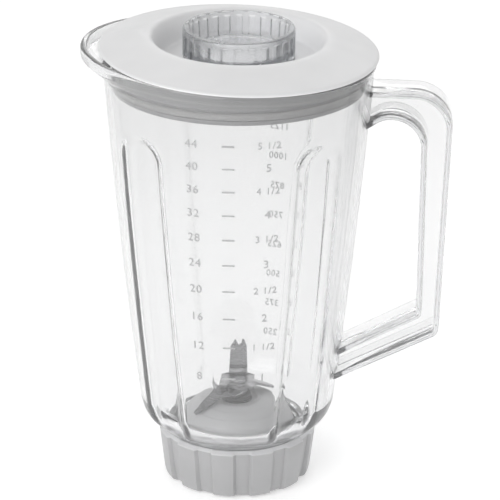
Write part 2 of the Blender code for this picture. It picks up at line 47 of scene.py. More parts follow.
# Jar, in millimetres about its axis: the handle is on +X, the spout on -X, the scale on -Y
WALL, GAP = 3.0, 0.3
BODY_FOOT_R, BODY_FOOT_Z, BODY_SLOPE, BODY_BULGE = 46.3, 40.0, 0.127, 0.000165
BAND_Z, RIM_Z, RIM_R, RIM_BEAD, RIM_TILT = 197.0, 212.9, 63.9, 3.6, 0.034
SPOUT_REACH, SPOUT_RISE, SPOUT_HALF_ANGLE = 9.6, 1.0, 68.0
FLUTE_ANGLES, FLUTE_HALF, FLUTE_DEPTH = (46.5, 133.5, 226.5, 313.5), 13.8, 4.0
FLUTE_TOP_Z, FLUTE_FOOT_Z, FLUTE_FULL_Z = 186.0, 27.0, 38.0
FLUTE_EDGE, FLUTE_SHALLOWER = 6.0, 0.5  # the floor rises towards the spout or the handle
PANEL_HALF, PANEL_TOP_Z, PANEL_FOOT_Z, PANEL_RELIEF = 7.2, 186.0, 60.0, 0.35
NECK_R, NECK_BORE_R, NECK_Z, NECK_TOP_Z = 31.5, 28.6, 16.4, 25.6
HANDLE_WIDTH, HANDLE_FLANGE, HANDLE_WEB = 21.0, 2.5, 2.4

# Lid, cap, collar and blade base
LID_R, LID_EDGE_Z, LID_THICK, WELL_LIP_R, WELL_LIP_Z = 65.0, 214.2, 2.4, 41.0, 220.4
WELL_FLOOR_R, WELL_FLOOR_Z, LID_HOLE_R = 35.0, 209.6, 22.8
SKIRT_R, SKIRT_BORE_R, SKIRT_Z = 57.4, 55.0, 197.6
CAP_R, CAP_TOP_Z, CAP_RIBS, CAP_RIB_DEPTH = 26.0, 224.6, 26, 0.8
CAP_CUP_R, CAP_FLOOR_Z, CAP_SPIGOT_R, CAP_SPIGOT_Z = 21.6, 214.0, 22.0, 202.0
COLLAR_TOP_Z, COLLAR_TOP_R, COLLAR_FOOT_R, COLLAR_LOBES, COLLAR_LOBE_DEPTH = 25.2, 37.6, 34.6, 12, 1.8
COLLAR_LOBE_TURN = 0.497  # where the first lobe starts, in lobes
COLLAR_BORE_R, COLLAR_LEDGE_R, COLLAR_RECESS_R, LEDGE_BOTTOM_Z, LEDGE_TOP_Z = 34.1, 26.5, 29.0, 8.0, 11.0
BASE_FLANGE_R, BASE_FLANGE_BOTTOM_Z, BASE_FLANGE_TOP_Z = 33.2, 11.3, 13.6
BASE_SPIGOT_R, BASE_TOP_Z, BASE_HUB_R, BASE_BORE_R = 27.6, 37.5, 10.6, 6.2

# Clear plastic: its tint at each surface, and the heights between which painted shade greys it towards the
# rim
CLEAR_TINT = (0.93, 0.93, 0.935)
RIM_SHADE_LOW_Z, RIM_SHADE_HIGH_Z = 125.0, 190.0

# Scale: the lowest and highest dash, and the numerals beside the ten dashes
DASH_LOW_Z, DASH_HIGH_Z, DASHES = 69.6, 188.6, 10
OUNCES = ("8", "12", "16", "20", "24", "28", "32", "36", "40", "44")
CUPS = ("1", "1 1/2", "2", "2 1/2", "3", "3 1/2", "4", "4 1/2", "5", "5 1/2")
MILLILITRES = ("250", "375", "500", "625", "750", "875", "1000", "1125", "1250")


# ---------------------------------------------------------------- materials

def new_material(name):
    """A material with its node tree and Principled shader."""
    made = bpy.data.materials.new(name)
    made.use_nodes = True
    return made, made.node_tree, made.node_tree.nodes["Principled BSDF"]


def noise(tree, scale, detail=3.0, stretch=(1, 1, 1)):
    """A noise texture in object space, in features per metre."""
    mapping = tree.nodes.new("ShaderNodeMapping")
    mapping.inputs["Scale"].default_value = stretch
    texture = tree.nodes.new("ShaderNodeTexNoise")
    texture.inputs["Scale"].default_value = scale
    texture.inputs["Detail"].default_value = detail
    tree.links.new(object_place(tree), mapping.inputs["Vector"])
    tree.links.new(mapping.outputs["Vector"], texture.inputs["Vector"])
    return texture.outputs["Fac"]


def ramp(tree, factor, low, high, start=0.3, end=0.7):
    """Colours from low to high along a factor."""
    node = tree.nodes.new("ShaderNodeValToRGB")
    node.color_ramp.elements[0].position, node.color_ramp.elements[0].color = start, (*low, 1)
    node.color_ramp.elements[1].position, node.color_ramp.elements[1].color = end, (*high, 1)
    tree.links.new(factor, node.inputs["Fac"])
    return node.outputs["Color"]


def bump(tree, shader, height, depth_mm, strength=1.0, before=None):
    """Adds a bump of a depth to the shader, on top of an earlier one."""
    node = tree.nodes.new("ShaderNodeBump")
    node.inputs["Distance"].default_value = depth_mm * MM
    node.inputs["Strength"].default_value = strength
    tree.links.new(height, node.inputs["Height"])
    if before:
        tree.links.new(before, node.inputs["Normal"])
    tree.links.new(node.outputs["Normal"], shader.inputs["Normal"])
    return node.outputs["Normal"]


def object_place(tree):
    """A point's place in the object's own space."""
    return tree.nodes.new("ShaderNodeTexCoord").outputs["Object"]


def map_range(tree, value, low, high, to_low, to_high):
    """A value changed from one range to another."""
    node = tree.nodes.new("ShaderNodeMapRange")
    node.inputs["From Min"].default_value, node.inputs["From Max"].default_value = low, high
    node.inputs["To Min"].default_value, node.inputs["To Max"].default_value = to_low, to_high
    tree.links.new(value, node.inputs["Value"])
    return node.outputs["Result"]


def vector_value(tree, operation, vector, other=(0, 0, 0)):
    """A number worked out from a vector, such as its length."""
    node = tree.nodes.new("ShaderNodeVectorMath")
    node.operation = operation
    node.inputs[1].default_value = other
    tree.links.new(vector, node.inputs[0])
    return node.outputs["Value"]


def clear_plastic(name, density, gloss=(0.015, 0.05), tint=(0.80, 0.81, 0.82), rim_shade=1.0):
    """Clear moulded plastic: faint waviness and handling marks, grey through its thickness.

    A factor below 1 paints shade into its colour, greyer towards the rim, for the lid's shadow and
    reflections. Light for other pieces passes straight through it."""
    made, tree, shader = new_material(name)
    shader.inputs["Base Color"].default_value = (*CLEAR_TINT, 1)
    # Painted shade: the tint greyed towards the rim, for the lid's shadow and reflections
    if rim_shade < 1.0:
        height = vector_value(tree, "DOT_PRODUCT", object_place(tree), (0, 0, 1))
        grey = map_range(tree, height, RIM_SHADE_LOW_Z * MM, RIM_SHADE_HIGH_Z * MM, CLEAR_TINT[0], CLEAR_TINT[0] * rim_shade)
        tree.links.new(grey, shader.inputs["Base Color"])
    shader.inputs["Transmission Weight"].default_value = 0.94
    shader.inputs["IOR"].default_value = 1.44
    uneven = ramp(tree, noise(tree, 60, 4), (gloss[0],) * 3, (gloss[1],) * 3)
    tree.links.new(uneven, shader.inputs["Roughness"])
    wave = bump(tree, shader, noise(tree, 28, 1), 0.12, 0.3)
    bump(tree, shader, noise(tree, 900, 2), 0.004, 0.3, wave)
    volume = tree.nodes.new("ShaderNodeVolumeAbsorption")
    volume.inputs["Color"].default_value = (*tint, 1)
    volume.inputs["Density"].default_value = density
    output = tree.nodes["Material Output"]
    tree.links.new(volume.outputs["Volume"], output.inputs["Volume"])
    path = tree.nodes.new("ShaderNodeLightPath")
    clear = tree.nodes.new("ShaderNodeBsdfTransparent")
    clear.inputs["Color"].default_value = (*CLEAR_TINT, 1)
    mix = tree.nodes.new("ShaderNodeMixShader")
    tree.links.new(path.outputs["Is Shadow Ray"], mix.inputs["Fac"])
    tree.links.new(shader.outputs["BSDF"], mix.inputs[1])
    tree.links.new(clear.outputs["BSDF"], mix.inputs[2])
    tree.links.new(mix.outputs["Shader"], output.inputs["Surface"])
    return made


def product(tree, first, second):
    """One value times another."""
    node = tree.nodes.new("ShaderNodeMath")
    node.operation = "MULTIPLY"
    tree.links.new(first, node.inputs[0])
    tree.links.new(second, node.inputs[1])
    return node.outputs["Value"]


def scaled(tree, colour, factor):
    """A colour made paler or darker by a factor."""
    node = tree.nodes.new("ShaderNodeVectorMath")
    node.operation = "SCALE"
    tree.links.new(colour, node.inputs[0])
    tree.links.new(factor, node.inputs["Scale"])
    return node.outputs["Vector"]


def skirt_shade_mask(tree):
    """1 below the lid's flange and outside its well, 0 elsewhere: the mask for the shade painted on the
    skirt.
    """
    place = object_place(tree)
    level = vector_value(tree, "DOT_PRODUCT", place, (RIM_TILT, 0, 1))
    edge = (RIM_Z + RIM_TILT * AXIS_X) * MM
    below = map_range(tree, level, edge - 0.6 * MM, edge, 1.0, 0.0)
    flat = tree.nodes.new("ShaderNodeVectorMath")
    flat.operation = "MULTIPLY_ADD"
    flat.inputs[1].default_value, flat.inputs[2].default_value = (1, 1, 0), (-AXIS_X * MM, 0, 0)
    tree.links.new(place, flat.inputs[0])
    radius = vector_value(tree, "LENGTH", flat.outputs["Vector"])
    outside = map_range(tree, radius, (WELL_LIP_R + 3) * MM, (WELL_LIP_R + 5) * MM, 0.0, 1.0)
    return product(tree, below, outside)


def moulded_plastic(name, low, high, roughness, grain=0.012, subsurface=0.0, skirt=1.0, top=1.0):
    """Opaque moulded plastic: slight clouding, uneven gloss and a fine grain.

    The lid's skirt can take painted shade, darker under its flange, and the surfaces that face up painted
    light, paler."""
    made, tree, shader = new_material(name)
    colour = ramp(tree, noise(tree, 35, 4), low, high)
    # Painted shade: the skirt darkened below the lid's flange, where the lid shades it
    if skirt < 1.0:
        colour = scaled(tree, colour, map_range(tree, skirt_shade_mask(tree), 0.0, 1.0, 1.0, skirt))
    # Painted light: surfaces that face up made paler, as if lit from above
    if top > 1.0:
        normal = tree.nodes.new("ShaderNodeNewGeometry").outputs["Normal"]
        up_light_share = vector_value(tree, "DOT_PRODUCT", normal, (0, 0, 1))
        colour = scaled(tree, colour, map_range(tree, up_light_share, 0.1, 0.6, 1.0, top))
    tree.links.new(colour, shader.inputs["Base Color"])
    uneven = ramp(tree, noise(tree, 90, 5), (roughness - 0.05,) * 3, (roughness + 0.08,) * 3)
    tree.links.new(uneven, shader.inputs["Roughness"])
    shader.inputs["IOR"].default_value = 1.49
    if subsurface:
        shader.inputs["Subsurface Weight"].default_value = subsurface
        shader.inputs["Subsurface Radius"].default_value = (0.002, 0.002, 0.002)
        shader.inputs["Subsurface Scale"].default_value = 1.0
    soft = bump(tree, shader, noise(tree, 45, 2), 0.08, 0.3)
    bump(tree, shader, noise(tree, 2600, 3), grain, 0.6, soft)
    return made


def metal(name, low, high, roughness, stretch=(1, 1, 1), scale=1500, scratch=0.006, anisotropy=0.0):
    """Metal with brushed or turned marks along one direction and smudges in its gloss."""
    made, tree, shader = new_material(name)
    shader.inputs["Metallic"].default_value = 1.0
    shader.inputs["Anisotropic"].default_value = anisotropy
    tree.links.new(ramp(tree, noise(tree, 240, 4), low, high), shader.inputs["Base Color"])
    marks = noise(tree, scale, 5, stretch)
    uneven = ramp(tree, marks, (roughness - 0.06,) * 3, (roughness + 0.1,) * 3)
    tree.links.new(uneven, shader.inputs["Roughness"])
    bump(tree, shader, marks, scratch, 0.6)
    return made


def rubber(name, low, high, roughness):
    """Moulded rubber: dusty clouding and a fine matt grain."""
    made, tree, shader = new_material(name)
    tree.links.new(ramp(tree, noise(tree, 300, 5), low, high), shader.inputs["Base Color"])
    uneven = ramp(tree, noise(tree, 150, 3), (roughness - 0.08,) * 3, (roughness + 0.08,) * 3)
    tree.links.new(uneven, shader.inputs["Roughness"])
    bump(tree, shader, noise(tree, 3500, 2), 0.02, 0.8)
    return made


LOOKS = {
    # The jar's colour is painted with shade, greyer towards its rim
    "jar": clear_plastic("jar_clear", 38.0, rim_shade=0.94),
    "cap": clear_plastic("cap_clear", 135.0, (0.20, 0.28), (0.78, 0.79, 0.80)),
    "marks": moulded_plastic("scale_frosted", (0.42, 0.42, 0.425), (0.50, 0.50, 0.505), 0.5),
    # The lid's skirt is painted with shade, darker below its flange
    "lid": moulded_plastic("lid_white", (0.77, 0.77, 0.775), (0.81, 0.81, 0.815), 0.34, skirt=0.37),
    # The collar's upward faces are painted with light, paler than its sides
    "collar": moulded_plastic(
        "collar_white", (0.38, 0.38, 0.385), (0.43, 0.43, 0.435), 0.36, subsurface=0.05, top=1.5),
    "blade_base": moulded_plastic("base_white", (0.40, 0.40, 0.405), (0.45, 0.45, 0.455), 0.36),
    "coupling": moulded_plastic("coupling_nylon", (0.045, 0.045, 0.047), (0.07, 0.07, 0.072), 0.5, 0.03),
    "black_nylon": moulded_plastic("black_nylon", (0.018, 0.018, 0.019), (0.03, 0.03, 0.031), 0.4, 0.02),
    "blade": metal(
        "blade_steel", (0.20, 0.20, 0.205), (0.30, 0.30, 0.305), 0.24, (0.05, 1, 1), 2200, anisotropy=0.3),
    "plated": metal("plated_steel", (0.52, 0.52, 0.53), (0.63, 0.63, 0.64), 0.3, (1, 1, 0.2)),
    "turned": metal("turned_steel", (0.50, 0.50, 0.51), (0.58, 0.58, 0.59), 0.22, (0.05, 0.05, 1.0)),
    "bush": metal("sintered_bronze", (0.42, 0.31, 0.17), (0.52, 0.40, 0.24), 0.45, scale=5000, scratch=0.02),
    "pale_rubber": rubber("pale_rubber", (0.30, 0.30, 0.297), (0.36, 0.36, 0.355), 0.55),
    "black_rubber": rubber("black_rubber", (0.016, 0.016, 0.017), (0.035, 0.035, 0.035), 0.5),
}


# ---------------------------------------------------------------- mesh helpers

def smooth(t):
    """Eases from 0 to 1."""
    t = min(1.0, max(0.0, t))
    return t * t * (3 - 2 * t)


def rounded(corners, steps=5):
    """Rounds a closed profile. Each corner is (r, z, fillet, share); the share is carried along."""
    out = []
    count = len(corners)
    for i, (r, z, fillet, share) in enumerate(corners):
        at = Vector((r, z, share))
        if fillet == 0:
            out.append(at)
            continue
        ends = []
        for other in (corners[i - 1], corners[(i + 1) % count]):
            far = Vector((other[0], other[1], other[3]))
            length = math.hypot(other[0] - r, other[1] - z)
            ends.append(at.lerp(far, min(0.5, fillet / length)))
        for k in range(steps + 1):
            t = k / steps
            out.append(ends[0] * (1 - t) ** 2 + at * 2 * t * (1 - t) + ends[1] * t * t)
    return out


def loft(points, around, shape=None, closed=True):
    """A mesh turned from profile points (r, z, share), each changed by shape(angle, r, z, share)."""
    bm = bmesh.new()
    rows = []
    for r, z, share in points:
        row = []
        for k in range(around):
            angle = math.tau * k / around
            here = shape(angle, r, z, share) if shape else (r, z)
            row.append(bm.verts.new((here[0] * math.cos(angle), here[0] * math.sin(angle), here[1])))
        rows.append(row)
    last = len(rows) if closed else len(rows) - 1
    for i in range(last):
        row, below = rows[i], rows[(i + 1) % len(rows)]
        for k in range(around):
            nxt = (k + 1) % around
            bm.faces.new((row[k], below[k], below[nxt], row[nxt]))
    if not closed:
        bm.faces.new(rows[0])
        bm.faces.new(rows[-1])
    return bm


def to_object(name, bm):
    """An object in metres at the origin, from a bmesh in millimetres about the jar's axis."""
    bmesh.ops.recalc_face_normals(bm, faces=bm.faces)
    bm.transform(Matrix.Translation((AXIS_X * MM, 0, 0)) @ Matrix.Scale(MM, 4))
    mesh = bpy.data.meshes.new(name)
    bm.to_mesh(mesh)
    bm.free()
    obj = bpy.data.objects.new(name, mesh)
    bpy.context.scene.collection.objects.link(obj)
    return obj


def combine(target, tools, operation="UNION", solver="MANIFOLD"):
    """Joins or cuts a mesh with tools and removes them."""
    for tool in tools:
        modifier = target.modifiers.new("combine", "BOOLEAN")
        modifier.operation, modifier.solver, modifier.object = operation, solver, tool
    bpy.context.view_layer.update()
    made = bpy.data.meshes.new_from_object(target.evaluated_get(bpy.context.evaluated_depsgraph_get()))
    target.modifiers.clear()
    target.data = made
    for tool in tools:
        bpy.data.objects.remove(tool, do_unlink=True)


def dress(obj, look, body, replaced=(), crease=32):
    """Gives a piece its material, smooth shading with creases, its body and the CAD nodes it stands for."""
    obj.data.materials.clear()
    obj.data.materials.append(LOOKS[look])
    obj.data.shade_smooth()
    obj.data.set_sharp_from_angle(angle=math.radians(crease))
    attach(obj, body)
    if replaced:
        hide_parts(*replaced)
    return obj


# ---------------------------------------------------------------- jar

def off_angle(angle, centre_deg):
    """How far an angle is from a direction, in degrees."""
    return abs((math.degrees(angle) - centre_deg + 180) % 360 - 180)


def wall_radius(z):
    """The jar's plain outer radius above the shoulder."""
    up = z - BODY_FOOT_Z
    return BODY_FOOT_R + BODY_SLOPE * up - BODY_BULGE * up * up


def flute(angle, z):
    """How far the nearest arched flute presses the wall in."""
    if z > FLUTE_TOP_Z or z < FLUTE_FOOT_Z:
        return 0.0
    r = wall_radius(max(z, BODY_FOOT_Z))
    half = min(FLUTE_HALF, 0.42 * r)
    across = math.radians(min(off_angle(angle, centre) for centre in FLUTE_ANGLES)) * r
    over = max(0.0, z - (FLUTE_TOP_Z - half))
    inside = half - math.hypot(across, over)
    foot = smooth((z - FLUTE_FOOT_Z) / (FLUTE_FULL_Z - FLUTE_FOOT_Z))
    beside = smooth(0.5 + 2.5 * (math.sin(math.radians(FLUTE_ANGLES[0])) - abs(math.sin(angle))))
    return FLUTE_DEPTH * foot * (1 - FLUTE_SHALLOWER * beside) * smooth(inside / FLUTE_EDGE)


def panel(angle, z):
    """The faint raised panel behind the scale's dashes."""
    across = math.radians(off_angle(angle, 270.0)) * wall_radius(z)
    over = max(0.0, z - (PANEL_TOP_Z - PANEL_HALF), PANEL_FOOT_Z + PANEL_HALF - z)
    return PANEL_RELIEF * smooth((PANEL_HALF - math.hypot(across, over)) / 1.2)


def spout(angle):
    """The spout's share of its full reach in a direction."""
    away = off_angle(angle, 180.0)
    if away >= SPOUT_HALF_ANGLE:
        return 0.0
    return ((1 + math.cos(math.pi * away / SPOUT_HALF_ANGLE)) / 2) ** 1.1


def tilt(r, angle):
    """How much the climb towards the spout raises a point."""
    return -RIM_TILT * r * math.cos(angle)


def jar_shape(angle, r, z, share):
    """Flutes, panel, spout and the rim's tilt, added to the turned wall."""
    up = min(1.0, max(0.0, (z - BAND_Z) / (RIM_Z - BAND_Z)))
    lip = max(0.0, (spout(angle) - 0.45) / 0.55)
    r += SPOUT_REACH * spout(angle) * smooth((up - 0.34) / 0.42)
    if z > FLUTE_FOOT_Z - 4 and r > NECK_BORE_R + 0.5:
        r -= flute(angle, z)
    if share > 0.5 and BODY_FOOT_Z < z < BAND_Z:
        r += panel(angle, z)
    return r, z + up * (tilt(RIM_R, angle) + SPOUT_RISE * lip)


def jar_profile():
    """Rim, outer side, shoulder, neck, floor opening and inner side. The share marks the outer side."""
    body = [BODY_FOOT_Z + i * (BAND_Z - BODY_FOOT_Z) / 84 for i in range(84, 0, -1)]
    flare = [207.0, 206.0, 205.0, 204.0, 203.0, 202.0, 200.5, 198.7]
    under = RIM_Z - RIM_BEAD - 1.2
    corners = [(RIM_R, RIM_Z, 1.7, 1), (RIM_R, RIM_Z - RIM_BEAD, 1.8, 1), (wall_radius(under), under, 0.6, 1)]
    corners += [(wall_radius(z), z, 0, 1) for z in flare + body]
    corners += [(BODY_FOOT_R, BODY_FOOT_Z, 9, 1), (44.9, 34.8, 9, 1), (41.4, 30.4, 9, 1), (37.4, 27.6, 9, 1)]
    corners += [(35.0, NECK_TOP_Z, 1, 1), (NECK_R, NECK_TOP_Z, 0.4, 1), (NECK_R, NECK_Z, 0.4, 1)]
    corners += [(NECK_BORE_R, NECK_Z, 0.4, 0), (NECK_BORE_R, 23.5, 9, 0)]
    corners += [(31.5, 28.2, 9, 0), (36.0, 31.0, 9, 0), (40.6, 35.4, 9, 0)]
    inner_side = [BODY_FOOT_Z + 1] + body[::-1] + flare[::-1] + [208.5]
    corners += [(wall_radius(z) - WALL, z, 0, 0) for z in inner_side]
    corners += [(RIM_R - WALL - 0.5, RIM_Z - 1.5, 0.6, 0), (RIM_R - WALL, RIM_Z, 0.6, 0)]
    return rounded(corners, 4)


def rounded_path(corners, steps=14):
    """A line through corners (x, z, radius), with each corner an arc of its radius."""
    points = [Vector(corners[0][:2])]
    for before, corner, after in zip(corners, corners[1:], corners[2:]):
        at = Vector(corner[:2])
        back = (Vector(before[:2]) - at).normalized()
        ahead = (Vector(after[:2]) - at).normalized()
        half = back.angle(ahead) / 2
        centre = at + (back + ahead).normalized() * (corner[2] / math.sin(half))
        start = at + back * (corner[2] / math.tan(half)) - centre
        turn = (math.pi - 2 * half) * (1 if back.x * ahead.y < back.y * ahead.x else -1)
        for i in range(steps + 1):
            c, s = math.cos(turn * i / steps), math.sin(turn * i / steps)
            points.append(centre + Vector((start.x * c - start.y * s, start.x * s + start.y * c)))
    points.append(Vector(corners[-1][:2]))
    return points


def flange(name, path):
    """A flat band with rounded edges along a path."""
    bm = bmesh.new()
    rows = []
    corner, half_w, half_t = 0.9, HANDLE_WIDTH / 2, HANDLE_FLANGE / 2
    outline = []
    for sx, sy, start in ((1, 1, 0), (-1, 1, 90), (-1, -1, 180), (1, -1, 270)):
        for i in range(5):
            a = math.radians(start + 22.5 * i)
            across, up = sx * (half_w - corner), sy * (half_t - corner)
            outline.append((across + corner * math.cos(a), up + corner * math.sin(a)))
    for i, point in enumerate(path):
        ahead = (path[min(i + 1, len(path) - 1)] - path[max(i - 1, 0)]).normalized()
        rows.append([bm.verts.new((point.x - ahead.y * t, w, point.y + ahead.x * t)) for w, t in outline])
    for row, after in zip(rows, rows[1:]):
        for k in range(len(outline)):
            bm.faces.new((row[k], row[k - 1], after[k - 1], after[k]))
    bm.faces.new(rows[0])
    bm.faces.new(rows[-1])
    return to_object(name, bm)


def web(name, outline):
    """The upright plate between the flanges."""
    curve = bpy.data.curves.new(name, "CURVE")
    curve.dimensions, curve.fill_mode, curve.extrude = "2D", "BOTH", HANDLE_WEB / 2
    spline = curve.splines.new("POLY")
    spline.points.add(len(outline) - 1)
    spline.use_cyclic_u = True
    for point, (x, z) in zip(spline.points, outline):
        point.co = (x, z, 0, 1)
    flat = bpy.data.objects.new(name + "_outline", curve)
    bpy.context.scene.collection.objects.link(flat)
    bpy.context.view_layer.update()
    mesh = bpy.data.meshes.new_from_object(flat.evaluated_get(bpy.context.evaluated_depsgraph_get()))
    bpy.data.objects.remove(flat)
    bm = bmesh.new()
    bm.from_mesh(mesh)
    bmesh.ops.remove_doubles(bm, verts=bm.verts, dist=0.001)
    bm.transform(Matrix.Rotation(math.pi / 2, 4, "X"))
    return to_object(name, bm)


def helical_ridge(name, root_r, crest_r, z, lead=5.0, turns=1.25):
    """One thread ridge that runs out at both ends."""
    steps = round(turns * 72)
    bm = bmesh.new()
    rows = []
    for i in range(steps + 1):
        turn = turns * i / steps
        angle, height = math.tau * turn, z + lead * turn
        run_out = min(1.0, 0.25 + i / 8, 0.25 + (steps - i) / 8)
        crest = root_r + (crest_r - root_r) * run_out
        corners = ((root_r, 1.1), (crest, 0.5), (crest, -0.5), (root_r, -1.1))
        c, s = math.cos(angle), math.sin(angle)
        rows.append([bm.verts.new((r * c, r * s, height + dz)) for r, dz in corners])
    for row, after in zip(rows, rows[1:]):
        for k in range(4):
            bm.faces.new((row[k], row[k - 1], after[k - 1], after[k]))
    bm.faces.new(rows[0])
    bm.faces.new(rows[-1])
    return to_object(name, bm)


def make_jar():
    """The jar with its handle and thread, one clear moulding."""
    jar = to_object("jar_moulding", loft(jar_profile(), 240, jar_shape))
    outer = rounded_path([(60.2, 197.2, 0), (99.0, 197.2, 16.5), (94.6, 79.6, 3.5), (46.2, 54.2, 0)])
    inner = rounded_path([
        (59.0, 181.1, 0), (67.5, 186.4, 12.0), (86.9, 187.4, 15.0), (86.4, 88.2, 2.0), (47.4, 66.9, 0),
    ])
    combine(jar, [
        web("handle_web", outer + inner[::-1]), flange("handle_outer", outer), flange("handle_inner", inner),
        helical_ridge("neck_ridge", NECK_R - 0.6, 33.0, 18.2),
    ])
    dress(jar, "jar", "jar", ("jar", "handle"), 34)


# ---------------------------------------------------------------- scale on the wall

def dash_heights():
    """Heights of equal steps of volume in the tapering jar."""
    step = 0.05
    count = round((DASH_HIGH_Z - DASH_LOW_Z) / step)
    slices = [(wall_radius(DASH_LOW_Z + (i + 0.5) * step) - WALL) ** 2 for i in range(count)]
    whole = sum(slices)
    heights = [DASH_LOW_Z]
    held = 0.0
    for i, part in enumerate(slices):
        held += part
        if held >= whole * len(heights) / (DASHES - 1) - 0.5 * part and len(heights) < DASHES - 1:
            heights.append(DASH_LOW_Z + (i + 1) * step)
    return heights + [DASH_HIGH_Z]


def wrap(bm, centre_deg, z, proud, base=0.0):
    """Lays a flat relief (x across, y up, z out) on the jar's outer wall."""
    for vert in bm.verts:
        x, y, out = vert.co
        height = z + y
        r = wall_radius(height) + base + (proud if out > 0 else -0.25)
        angle = math.radians(centre_deg) + x / wall_radius(height)
        vert.co = (r * math.cos(angle), r * math.sin(angle), height)


def letters(text, size):
    """The raised outline of a numeral or fraction, centred."""
    curve = bpy.data.curves.new("numeral", "FONT")
    curve.body, curve.size, curve.extrude = text, size, 0.2
    curve.align_x, curve.align_y = "CENTER", "CENTER"
    curve.space_character = 1.12
    curve.resolution_u = 3
    flat = bpy.data.objects.new("numeral", curve)
    bpy.context.scene.collection.objects.link(flat)
    bpy.context.view_layer.update()
    mesh = bpy.data.meshes.new_from_object(flat.evaluated_get(bpy.context.evaluated_depsgraph_get()))
    bpy.data.objects.remove(flat)
    bm = bmesh.new()
    bm.from_mesh(mesh)
    bpy.data.meshes.remove(mesh)
    bmesh.ops.remove_doubles(bm, verts=bm.verts, dist=0.0005)
    return bm


def bar(width, height):
    """A flat bar with rounded ends, for a dash."""
    bm = bmesh.new()
    outline = []
    for side in (1, -1):
        for i in range(7):
            a = math.radians(-90 + 30 * i)
            x = width / 2 - height / 2 + height / 2 * math.cos(a)
            outline.append((side * x, side * height / 2 * math.sin(a)))
    rows = [[bm.verts.new((x, y, out)) for x, y in outline] for out in (-0.2, 0.2)]
    for k in range(len(outline)):
        bm.faces.new((rows[0][k - 1], rows[0][k], rows[1][k], rows[1][k - 1]))
    bm.faces.new(rows[0][::-1])
    bm.faces.new(rows[1])
    return bm


def make_scale():
    """Dashes and numerals, raised on the front wall, and a second scale on the rear wall."""
    whole = bmesh.new()

    def add(bm):
        piece = bpy.data.meshes.new("scale_bit")
        bmesh.ops.recalc_face_normals(bm, faces=bm.faces)
        bm.to_mesh(piece)
        bm.free()
        whole.from_mesh(piece)
        bpy.data.meshes.remove(piece)

    for i, z in enumerate(dash_heights()):
        lean = -0.25 * (DASHES - 1 - i) / (DASHES - 1)
        dash = bar(5.8, 0.7)
        wrap(dash, 270.0 + 1.2, z, 0.3, PANEL_RELIEF)
        add(dash)
        for text, centre in ((OUNCES[i], 270 - 14.8 + lean), (CUPS[i], 270 + 18.6 - lean)):
            numeral = letters(text, 5.6 if "/" not in text else 4.8)
            wrap(numeral, centre, z, 0.3)
            add(numeral)
    for i, text in enumerate(MILLILITRES):
        numeral = letters(text, 4.6)
        wrap(numeral, 90.0 - 15.0, 53.0 + 14.8 * i, 0.3)
        add(numeral)
    marks = to_object("scale_marks", whole)
    dress(marks, "marks", "jar", crease=50)


# ---------------------------------------------------------------- lid and cap

def lid_shape(angle, r, z, share):
    """The lid's tilt, and a low ridge that runs out towards the spout."""
    z += share * tilt(r, angle)
    if share < 0 or r < WELL_LIP_R + 1 or r > LID_R - 2:
        return r, z
    side = math.radians((math.degrees(angle) - 176.0 + 180) % 360 - 180) * r
    fade = smooth((LID_R - 2 - r) / 6) * smooth((r - WELL_LIP_R - 1) / 4)
    crest = smooth(1 - abs(side) / (5.0 if side < 0 else 16.0))
    return r, z + 0.9 * fade * crest


def make_lid():
    """The lid: domed flange, well for the cap, skirt with a groove for the seal."""
    corners = [
        (WELL_LIP_R - 0.4, WELL_LIP_Z, 1.6, 0.5), (44.0, WELL_LIP_Z - 0.1, 3.0, 0.55),
        (54.0, LID_EDGE_Z + 3.1, 8.0, 0.9), (LID_R - 0.9, LID_EDGE_Z + 0.4, 1.0, 1),
        (LID_R, LID_EDGE_Z - 0.5, 0.6, 1), (LID_R - 0.3, RIM_Z + GAP, 0.3, 1),
        (59.4, RIM_Z + GAP, 0.4, 1), (58.2, RIM_Z - 0.1, 0.5, 1),
        (SKIRT_R, RIM_Z - 1.1, 0.5, 1), (SKIRT_R, 204.4, 0.2, 0), (58.4, 204.0, 0.2, 0), (58.4, 203.95, 0, 0),
        (SKIRT_R, 203.9, 0.05, 0), (SKIRT_R, 200.1, 0.05, 0), (58.5, 199.8, 0.2, 0), (58.6, 199.4, 0.3, 0),
        (58.0, SKIRT_Z, 0.6, 0), (SKIRT_BORE_R, SKIRT_Z, 0.6, 0),
        (SKIRT_BORE_R, RIM_Z - 2.6, 2.0, 0), (53.0, LID_EDGE_Z + 1.2, 3.0, 0.9),
        (42.0, WELL_LIP_Z - 3.2, 2.0, 0.5), (38.6, WELL_FLOOR_Z + 2.1, 2.0, 0.2),
        (36.6, WELL_FLOOR_Z - LID_THICK, 1.5, 0), (LID_HOLE_R, WELL_FLOOR_Z - LID_THICK, 0.4, 0),
        (LID_HOLE_R, WELL_FLOOR_Z, 0.4, 0), (WELL_FLOOR_R, WELL_FLOOR_Z, 1.5, 0),
        (36.3, WELL_FLOOR_Z + 1.2, 2.0, 0), (38.3, WELL_LIP_Z - 3.4, 3.0, 0.2),
    ]
    points = rounded(corners, 6)
    dense = []
    for here, after in zip(points, points[1:] + points[:1]):
        dense.append(here)
        if here.x > 44 and here.y > LID_EDGE_Z - 2 and (after - here).length > 1.6:
            parts = int((after - here).length / 1.2) + 1
            dense += [here.lerp(after, k / parts) for k in range(1, parts)]
    lid = to_object("lid_moulding", loft(dense, 192, lid_shape))
    dress(lid, "lid", "lid", ("lid",), 40)


